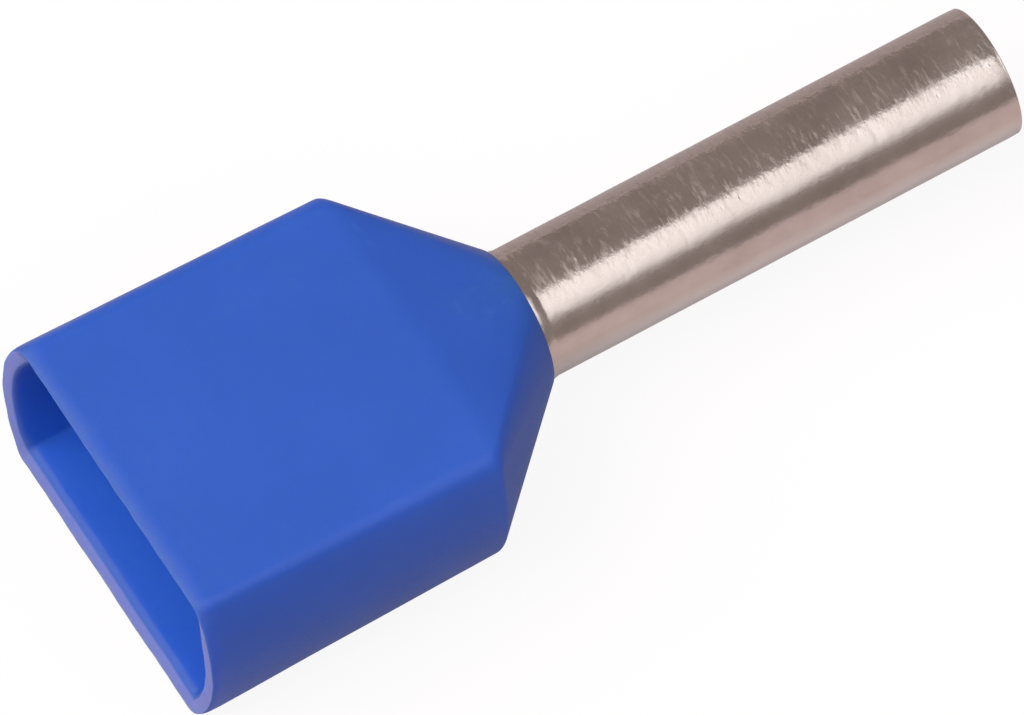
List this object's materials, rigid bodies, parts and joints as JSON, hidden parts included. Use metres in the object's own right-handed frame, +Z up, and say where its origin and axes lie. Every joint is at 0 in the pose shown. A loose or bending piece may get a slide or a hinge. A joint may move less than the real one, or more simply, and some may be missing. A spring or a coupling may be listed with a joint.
{
  "type": "twin insulated wire ferrule",
  "caption": "Insulated ferrule that joins two stripped stranded wires in a tinned crimp sleeve, with a flared flat-sided plastic collar.",
  "frame": {"origin": "on the sleeve's axis, in the plane where the sleeve leaves the collar", "axes": "+X along the sleeve towards its tip, +Y across the two wires, +Z up from the flat side it lies on"},
  "size_m": [0.0153, 0.006, 0.0034],
  "materials": {
    "collar_plastic": "satin moulded",
    "tinned_copper": "satin tin plate"
  },
  "bodies": {
    "root": {"collar": "collar_plastic", "sleeve": "tinned_copper"}
  },
  "joints": []
}
